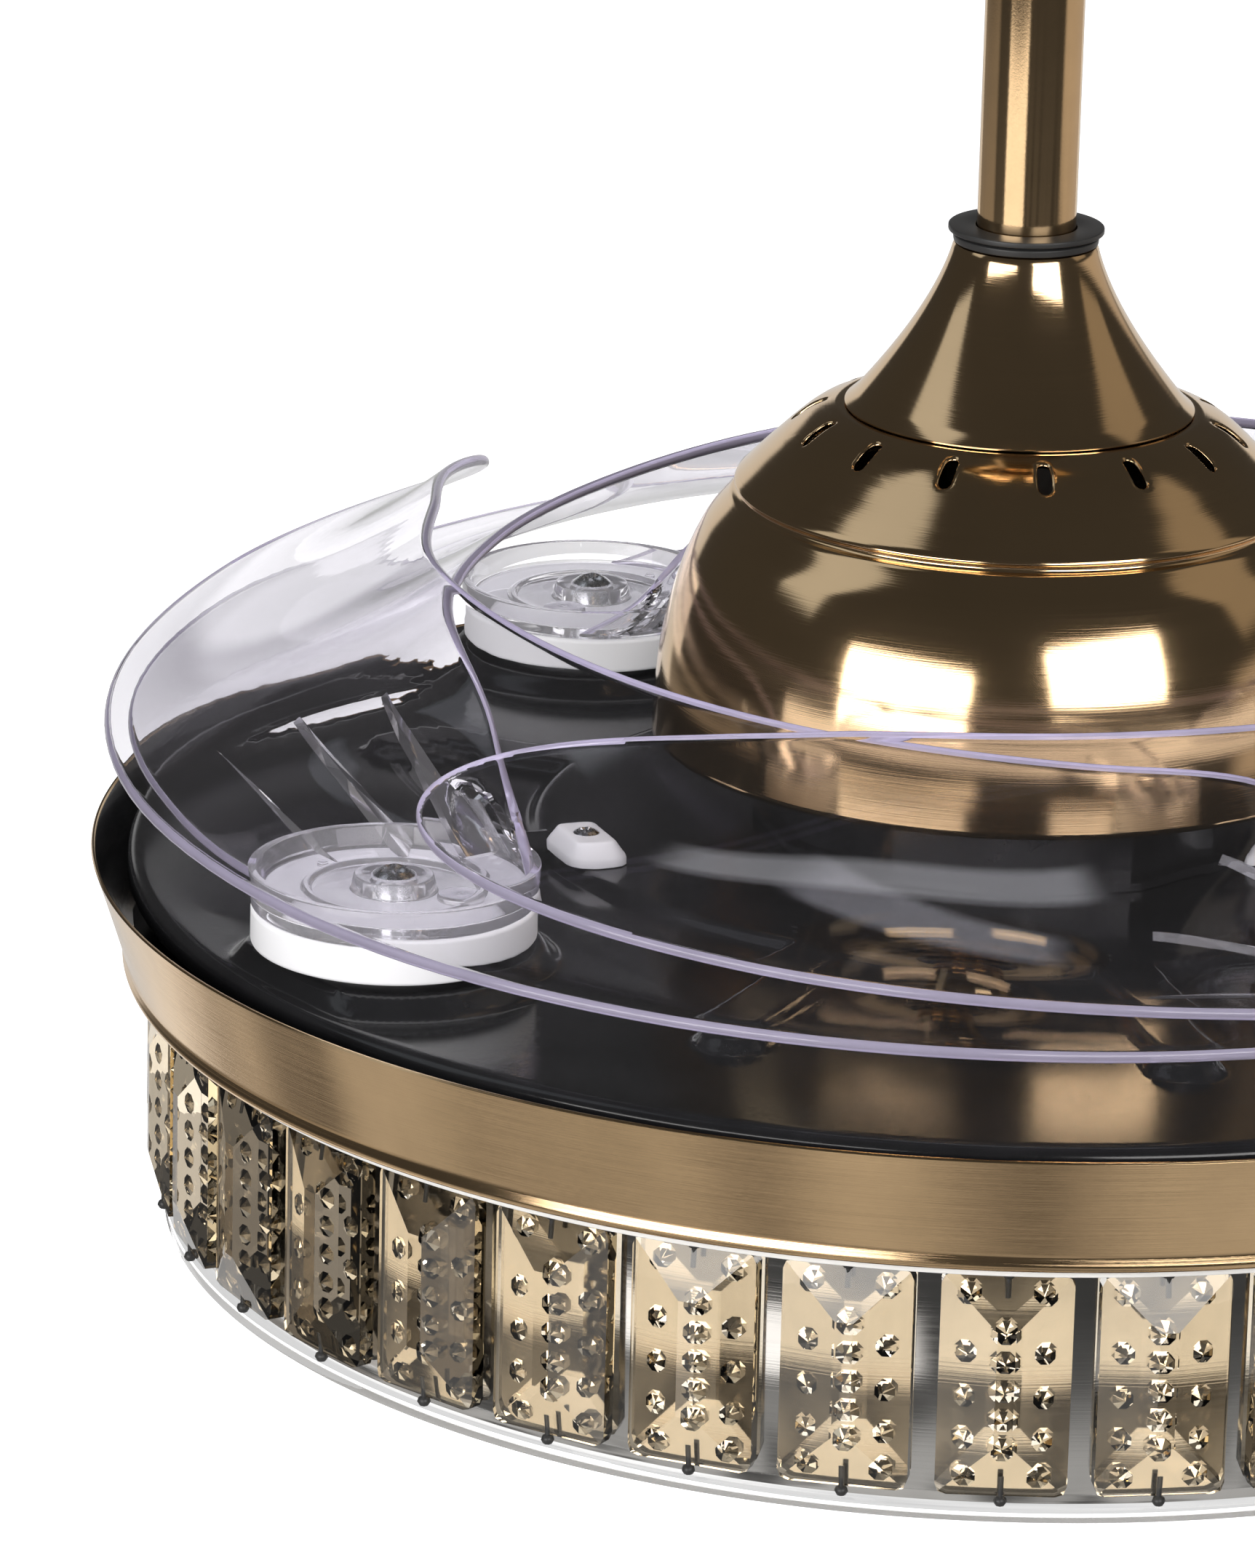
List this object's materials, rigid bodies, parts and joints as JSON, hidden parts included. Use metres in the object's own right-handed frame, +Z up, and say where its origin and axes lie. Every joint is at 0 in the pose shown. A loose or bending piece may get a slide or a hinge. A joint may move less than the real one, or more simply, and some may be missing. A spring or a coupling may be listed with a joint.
{
  "type": "retractable blade ceiling fan",
  "caption": "Ceiling fan with clear curved blades that fold over a round motor dome, above a crystal-trimmed lamp on a short downrod.",
  "frame": {"origin": "middle of the ceiling bracket's top face, where the fan meets the ceiling", "axes": "+Z up along the downrod, -Y towards the viewer, +X to the viewer's right"},
  "size_m": [0.5, 0.5, 0.4987],
  "materials": {
    "rose_gold": "polished",
    "black_coat": "satin",
    "black_plastic": "satin",
    "white_nylon": "satin",
    "zinc_steel": "satin",
    "raw_steel": "satin",
    "motor_core": "matte",
    "crystal": "polished",
    "clear_acrylic": "polished",
    "opal": "satin"
  },
  "bodies": {
    "ceiling_mount": {"ceiling_bracket": "zinc_steel", "canopy": "rose_gold", "canopy_screw_1": "zinc_steel", "canopy_screw_2": "zinc_steel", "receiver_box": "black_plastic"},
    "hanger": {"hanger_ball": "black_plastic", "ball_pin": "zinc_steel", "downrod": "rose_gold", "rod_pin": "zinc_steel", "rod_collar": "black_plastic", "bell_cover": "rose_gold", "yoke": "raw_steel", "dome_cover": "rose_gold", "hollow_shaft": "raw_steel", "stator": "motor_core", "bearing_lower": "zinc_steel", "bearing_upper": "zinc_steel", "lamp_pan": "black_coat", "rim_band": "rose_gold", "shaft_nut": "zinc_steel", "led_board": "opal", "led_driver": "opal", "diffuser_strip": "opal", "crystal_ring": "crystal", "bottom_diffuser": "opal", "clear_ring": "clear_acrylic"},
    "rotor": {"rotor_case_lower": "black_coat", "rotor_case_upper": "black_coat", "magnet_ring": "raw_steel", "blade_tray": "black_coat", "carrier_ring": "raw_steel", "guide_block_1": "white_nylon", "guide_block_2": "white_nylon", "guide_block_3": "white_nylon", "guide_block_4": "white_nylon", "guide_screw_1": "zinc_steel", "guide_screw_2": "zinc_steel", "guide_screw_3": "zinc_steel", "guide_screw_4": "zinc_steel", "pivot_screw_1": "zinc_steel", "pivot_screw_2": "zinc_steel", "pivot_screw_3": "zinc_steel", "pivot_screw_4": "zinc_steel", "return_spring_1": "raw_steel", "return_spring_2": "raw_steel", "return_spring_3": "raw_steel", "return_spring_4": "raw_steel"},
    "sync_gear": {"sync_ring": "white_nylon"},
    "blade_arm_1": {"blade_1": "clear_acrylic", "blade_hub_1": "white_nylon"},
    "blade_arm_2": {"blade_2": "clear_acrylic", "blade_hub_2": "white_nylon"},
    "blade_arm_3": {"blade_3": "clear_acrylic", "blade_hub_3": "white_nylon"},
    "blade_arm_4": {"blade_4": "clear_acrylic", "blade_hub_4": "white_nylon"}
  },
  "joints": [
    {"name": "hanger_ball_tilt", "type": "hinge", "parent": "ceiling_mount", "child": "hanger", "pos_m": [0, 0, -0.042], "axis": [1, 0, 0], "range_deg": [-5, 5]},
    {"name": "rotor_spin", "type": "hinge", "parent": "hanger", "child": "rotor", "pos_m": [0, 0, -0.394], "axis": [0, 0, 1], "continuous": true},
    {"name": "sync_ring_turn", "type": "hinge", "parent": "rotor", "child": "sync_gear", "pos_m": [0, 0, -0.4022], "axis": [0, 0, -1], "range_deg": [0, 13.28], "stiffness_Nm_per_rad": 2},
    {"name": "blade_1_swing", "type": "hinge", "parent": "rotor", "child": "blade_arm_1", "pos_m": [-0.16343, -0.11529, -0.3815], "axis": [0, 0, 1], "range_deg": [0, 93]},
    {"name": "blade_2_swing", "type": "hinge", "parent": "rotor", "child": "blade_arm_2", "pos_m": [0.11529, -0.16343, -0.3815], "axis": [0, 0, 1], "range_deg": [0, 93]},
    {"name": "blade_3_swing", "type": "hinge", "parent": "rotor", "child": "blade_arm_3", "pos_m": [0.16343, 0.11529, -0.3815], "axis": [0, 0, 1], "range_deg": [0, 93]},
    {"name": "blade_4_swing", "type": "hinge", "parent": "rotor", "child": "blade_arm_4", "pos_m": [-0.11529, 0.16343, -0.3815], "axis": [0, 0, 1], "range_deg": [0, 93]}
  ],
  "couplings": [
    {"joint": "blade_1_swing", "follows": "sync_ring_turn", "ratio": 7},
    {"joint": "blade_2_swing", "follows": "sync_ring_turn", "ratio": 7},
    {"joint": "blade_3_swing", "follows": "sync_ring_turn", "ratio": 7},
    {"joint": "blade_4_swing", "follows": "sync_ring_turn", "ratio": 7}
  ]
}
